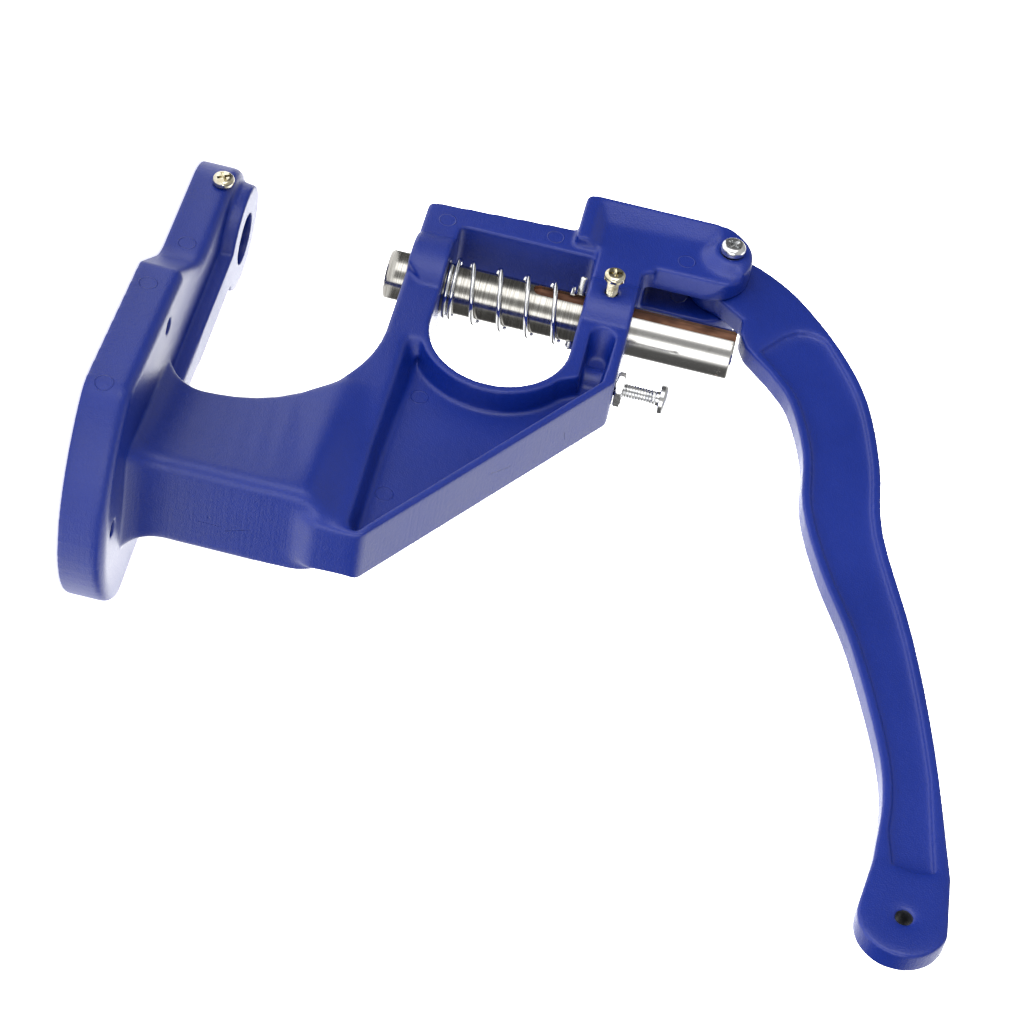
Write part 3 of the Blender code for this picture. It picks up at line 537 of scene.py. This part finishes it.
def make_spring():
    """The CAD spring's helix with round wire, closed ends and small cut faces."""
    low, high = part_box("return_spring")
    wire = SPRING_WIRE
    radius = (high.x - low.x) / 2 - wire
    pitch = 2 * wire + SPRING_CLOSED_GAP
    bottom, top = low.z + wire, high.z - wire
    rise = top - bottom - (CLOSED_TURNS + TOP_TURNS) * pitch
    total = CLOSED_TURNS + OPEN_TURNS + TOP_TURNS
    steps_per_turn, sides = 72, 16
    count = int(total * steps_per_turn)
    rings = []
    for i in range(count + 1):
        turns = total * i / count
        first = min(turns, CLOSED_TURNS)
        middle = min(max(turns - CLOSED_TURNS, 0.0), OPEN_TURNS)
        last = max(turns - CLOSED_TURNS - OPEN_TURNS, 0.0)
        z = bottom + (first + last) * pitch + middle * rise / OPEN_TURNS
        angle = 2 * math.pi * turns
        out = Vector((math.cos(angle), math.sin(angle), 0.0))
        centre = out * radius + Vector((0.0, 0.0, z))
        ring = []
        for k in range(sides):
            around = 2 * math.pi * k / sides
            rise_of_side = Vector((0.0, 0.0, wire * math.sin(around)))
            ring.append(centre + out * (wire * math.cos(around)) + rise_of_side)
        rings.append(ring)
    spring = new_object("spring_wire", skin(rings))
    shade(spring, 50.0)
    zinc = plated("spring_zinc", (0.78, 0.78, 0.78), (0.62, 0.63, 0.64), (0.06, 0.14))
    dress(spring, zinc, "frame", "spring_steel", "return_spring")
    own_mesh(spring)


def cross_cutter(centre, direction, width, span, depth, spin):
    """A tapered cross: the recess that a cross-head driver fits."""
    turn = Vector(direction).to_track_quat("Z", "Y") @ Matrix.Rotation(spin, 4, "Z").to_quaternion()

    def cross(half_span, half_width, level):
        a, b = half_span, half_width
        points = [(a, -b), (a, b), (b, b), (b, a), (-b, a), (-b, b), (-a, b), (-a, -b), (-b, -b), (-b, -a),
                  (b, -a), (b, -b)]
        return [Vector(centre) + turn @ Vector((x, y, level)) for x, y in points]

    rings = [cross(span * 0.45, width * 0.36, -depth), cross(span * 0.85, width * 0.46, -depth * 0.35),
             cross(span * 1.05, width * 0.55, depth * 0.5)]
    return new_object("cross", skin(rings))


def thread_profile(radius, depth, pitch, start, end, sides):
    """Rings of a helical ridge between two distances, as lists of (angle, radius, distance)."""
    rings = []
    steps_per_pitch = 8
    count = max(2, int((end - start) / pitch * steps_per_pitch))
    for i in range(count + 1):
        along = start + (end - start) * i / count
        full = min(1.0, (along - start) / pitch, (end - along) / pitch) if 0 < i < count else 0.0
        full = max(full, 0.0)
        ring = []
        for k in range(sides):
            phase = (along / pitch - k / sides) % 1.0
            ridge = 1.0 - abs(2.0 * phase - 1.0)
            sunk = depth * (1.0 - ridge) * full + depth * (1.0 - full)
            ring.append((2 * math.pi * k / sides, radius - sunk, along))
        rings.append(ring)
    return rings


def screw(name, node, direction, sizes, spin, recess, material, body, slot):
    """A pan-head screw with a threaded shank and a cross recess, in its CAD node's place.

    The sizes, in mm, are the head's radius and height, the shank's radius and the thread's pitch.
    """
    head_radius, head_height, shank_radius, pitch = [size * MM for size in sizes]
    low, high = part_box(node)
    axis = Vector(direction)
    middle = (low + high) / 2
    extent = (high - low) / 2
    reach = abs(extent.dot(axis))
    tip, crown = middle - axis * reach, middle + axis * reach
    seat = 2 * reach - head_height
    turn = axis.to_track_quat("Z", "Y")
    sides, edge = 48, 0.25 * MM

    def ring_of(points):
        return [tip + turn @ Vector((r * math.cos(a), r * math.sin(a), z)) for a, r, z in points]

    def plain(radius, along):
        return ring_of([(2 * math.pi * k / sides, radius, along) for k in range(sides)])

    rings = [plain(shank_radius * 0.62, 0.0)]
    neck = min(seat * 0.12, 1.2 * MM)
    depth, start = shank_radius * 0.17, shank_radius * 0.25
    for ring in thread_profile(shank_radius, depth, pitch, start, seat - neck, sides):
        rings.append(ring_of(ring))
    rings.append(plain(shank_radius * 0.96, seat - neck * 0.7))
    rings.append(plain(shank_radius * 0.96, seat))
    rings.append(plain(head_radius - edge, seat))
    rings.append(plain(head_radius, seat + edge))
    rings.append(plain(head_radius, seat + head_height * 0.38))
    dome_steps = 9
    for i in range(1, dome_steps + 1):
        t = i / dome_steps
        radius = head_radius * (1 - 0.62 * t ** 2.4)
        rings.append(plain(radius, seat + head_height * (0.38 + 0.62 * math.sin(math.pi / 2 * t))))
    piece = new_object(name, skin(rings))
    combine(piece, cross_cutter(crown, axis, *recess, spin), "DIFFERENCE")
    shade(piece, 32.0)
    dress(piece, material, body, slot, node)


def nut(name, node, direction, bore, material, body):
    """A hexagonal nut, its corners turned off on both faces and its bore countersunk."""
    low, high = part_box(node)
    axis = Vector(direction)
    middle = (low + high) / 2
    reach = abs(((high - low) / 2).dot(axis))
    thickness = 2 * reach
    radius = max(size for size in high - low if abs(size - thickness) > 0.1 * MM) / 2
    turn = axis.to_track_quat("Z", "Y")
    start = middle - axis * reach
    sides = 72
    rings = []
    for share, limit in ((0.0, 0.88), (0.12, 0.97), (0.2, 1.0), (0.5, 1.0), (0.8, 1.0), (0.88, 0.97),
                         (1.0, 0.88)):
        ring = []
        for k in range(sides):
            angle = 2 * math.pi * k / sides
            flat = radius * math.cos(math.pi / 6) / math.cos((angle % (math.pi / 3)) - math.pi / 6)
            r = min(flat, radius * limit)
            ring.append(start + turn @ Vector((r * math.cos(angle), r * math.sin(angle), share * thickness)))
        rings.append(ring)
    piece = new_object(name, skin(rings))
    past, depth, mouth = 0.3 * MM, 0.4 * MM, bore * 1.12
    hole = turned("bore", ((mouth, -past), (bore, depth), (bore, thickness - depth),
                           (mouth, thickness + past)), start, axis, 48)
    combine(piece, hole, "DIFFERENCE")
    shade(piece, 25.0)
    dress(piece, material, body, "nut_zinc", node)


def make_castings():
    """The painted frame, and the painted lever with a bare wall in its pad's hole, painted near black as the hole's
    shade.
    """
    casting = cast_skin("casting_skin", "frame_casting",
                        ((BLEND_PASSES, column_blends), (DISH_PASSES, dish_blends), (SMOOTH_PASSES, outside_bores)))
    paint = blue_coat("blue_coat_frame", RING_CENTRES, chips=CHIPS)
    dress(casting, paint, "frame", "frame_paint", "frame_casting")
    arm = cast_skin("lever_skin", "lever", ((RECESS_PASSES, recess_blends), (SMOOTH_PASSES, None)))
    dress(arm, blue_coat("blue_coat_lever", striations=False), "lever", "lever_paint", "lever")
    arm.data.materials.append(bore_wall_painted_shade("pad_hole_wall_painted_shade"))
    # faces inside the pad's hole take the near-black wall: painted shade
    for face in arm.data.polygons:
        from_pad = math.hypot(face.center.y - PAD_Y, face.center.z - PAD_Z)
        if from_pad < PAD_HOLE_REACH and abs(face.center.x) < PAD_HOLE_HALF_DEPTH:
            face.material_index = 1


make_castings()
make_ram()
make_pin()
make_spring()

white_zinc = plated("white_zinc_plate", (0.82, 0.82, 0.81), (0.62, 0.63, 0.64), (0.08, 0.18))
yellow_zinc = plated("yellow_zinc_plate", (0.78, 0.74, 0.60), (0.56, 0.50, 0.34), (0.08, 0.18))
nut_zinc = plated("nut_zinc_plate", (0.74, 0.74, 0.74), (0.62, 0.62, 0.63), (0.22, 0.38))

screw("guide_screw_detailed", "guide_screw", (1, 0, 0), (3.45, 2.3, 1.85, 0.7), 0.3, SMALL_CROSS,
      yellow_zinc, "guide_screw", "yellow_zinc")
screw("die_clamp_screw_detailed", "die_clamp_screw", (1, 0, 0), (3.45, 2.3, 1.6, 0.7), 0.55, SMALL_CROSS,
      yellow_zinc, "die_clamp_screw", "clamp_zinc")
screw("pivot_bolt_detailed", "pivot_bolt", (1, 0, 0), (4.05, 3.0, 3.0, 1.0), 0.9, BOLT_CROSS,
      white_zinc, "frame", "white_zinc")
screw("stop_screw_detailed", "stop_screw", (0, 0, 1), (4.65, 2.6, 2.5, 0.9), 0.4, STOP_CROSS,
      white_zinc, "stop_screw", "stop_zinc")
nut("pivot_nut_detailed", "pivot_nut", (-1, 0, 0), 3.1 * MM, nut_zinc, "frame")
nut("stop_nut_detailed", "stop_lock_nut", (0, 0, 1), 2.6 * MM, nut_zinc, "frame")


# ---------------------------------------------------------------- stage, light and camera

def make_floor():
    """A pale disc under the press, which glows a little."""
    inner = 0.02
    profile = ((inner, FLOOR_BOTTOM), (FLOOR_RADIUS, FLOOR_BOTTOM), (FLOOR_RADIUS, FLOOR_TOP),
               (inner, FLOOR_TOP))
    floor = turned("floor", profile, (0, 0, 0), (0, 0, 1), 96)
    n = Nodes("pale_floor")
    tone = n.mix(n.noise(3.0), rgb(0.93, 0.93, 0.93), rgb(0.95, 0.95, 0.95))
    n.set(color=tone, roughness=0.9, specular=0.1)
    n.shader.inputs["Emission Color"].default_value = rgb(1.0, 1.0, 1.0)
    n.shader.inputs["Emission Strength"].default_value = 0.75
    floor.data.materials.append(n.material)


def make_world():
    """A studio: bright panels beside and behind the press, dark gaps between them and a softer top."""
    world = bpy.data.worlds.new("studio")
    bpy.context.scene.world = world
    world.use_nodes = True
    tree = world.node_tree
    background = tree.nodes["Background"]
    coordinates = tree.nodes.new("ShaderNodeTexCoord")
    split = tree.nodes.new("ShaderNodeSeparateXYZ")
    tree.links.new(coordinates.outputs["Generated"], split.inputs[0])

    def calc(operation, a, b=0.0):
        node = tree.nodes.new("ShaderNodeMath")
        node.operation = operation
        for socket, value in ((node.inputs[0], a), (node.inputs[1], b)):
            if isinstance(value, bpy.types.NodeSocket):
                tree.links.new(value, socket)
            else:
                socket.default_value = value
        return node.outputs[0]

    def ring(share, stops):
        ramp = tree.nodes.new("ShaderNodeValToRGB")
        tree.links.new(share, ramp.inputs[0])
        elements = ramp.color_ramp.elements
        for index, (azimuth, level) in enumerate(stops):
            place = (azimuth - FIRST_AZIMUTH) / 360
            element = elements[index] if index < 2 else elements.new(place)
            element.position = place
            value = level / BRIGHTEST
            element.color = (value, value, value, 1.0)
        return calc("MULTIPLY", ramp.outputs[0], BRIGHTEST)

    turn = calc("ARCTAN2", split.outputs[1], split.outputs[0])
    share = calc("FRACT", calc("ADD", calc("DIVIDE", turn, 2 * math.pi), -FIRST_AZIMUTH / 360))
    above = tree.nodes.new("ShaderNodeMapRange")
    above.interpolation_type = "SMOOTHSTEP"
    tree.links.new(split.outputs[2], above.inputs["Value"])
    above.inputs["From Min"].default_value = SKY_START
    above.inputs["From Max"].default_value = SKY_FULL
    low = calc("MULTIPLY", ring(share, RIM_OF_LIGHT), calc("SUBTRACT", 1.0, above.outputs[0]))
    high = calc("MULTIPLY", ring(share, SKY_OF_LIGHT), above.outputs[0])
    level = calc("ADD", low, high)
    grey = tree.nodes.new("ShaderNodeCombineXYZ")
    for socket in grey.inputs:
        tree.links.new(level, socket)
    tree.links.new(grey.outputs[0], background.inputs["Color"])
    background.inputs["Strength"].default_value = WORLD_STRENGTH


def make_camera():
    """The camera, turned by its forward and right directions."""
    camera_data = bpy.data.cameras.new("camera")
    camera_data.lens = CAMERA_LENS
    camera_data.sensor_width = CAMERA_SENSOR
    camera_data.clip_start = 0.05
    camera = bpy.data.objects.new("camera", camera_data)
    back = -CAMERA_FORWARD.normalized()
    right = (CAMERA_RIGHT - back * CAMERA_RIGHT.dot(back)).normalized()
    up = back.cross(right)
    pose = Matrix((right, up, back)).transposed().to_4x4()
    pose.translation = CAMERA_AT
    camera.matrix_world = pose
    bpy.context.scene.collection.objects.link(camera)
    bpy.context.scene.camera = camera


make_floor()
make_world()
make_camera()
bpy.context.scene.view_settings.view_transform = "Standard"
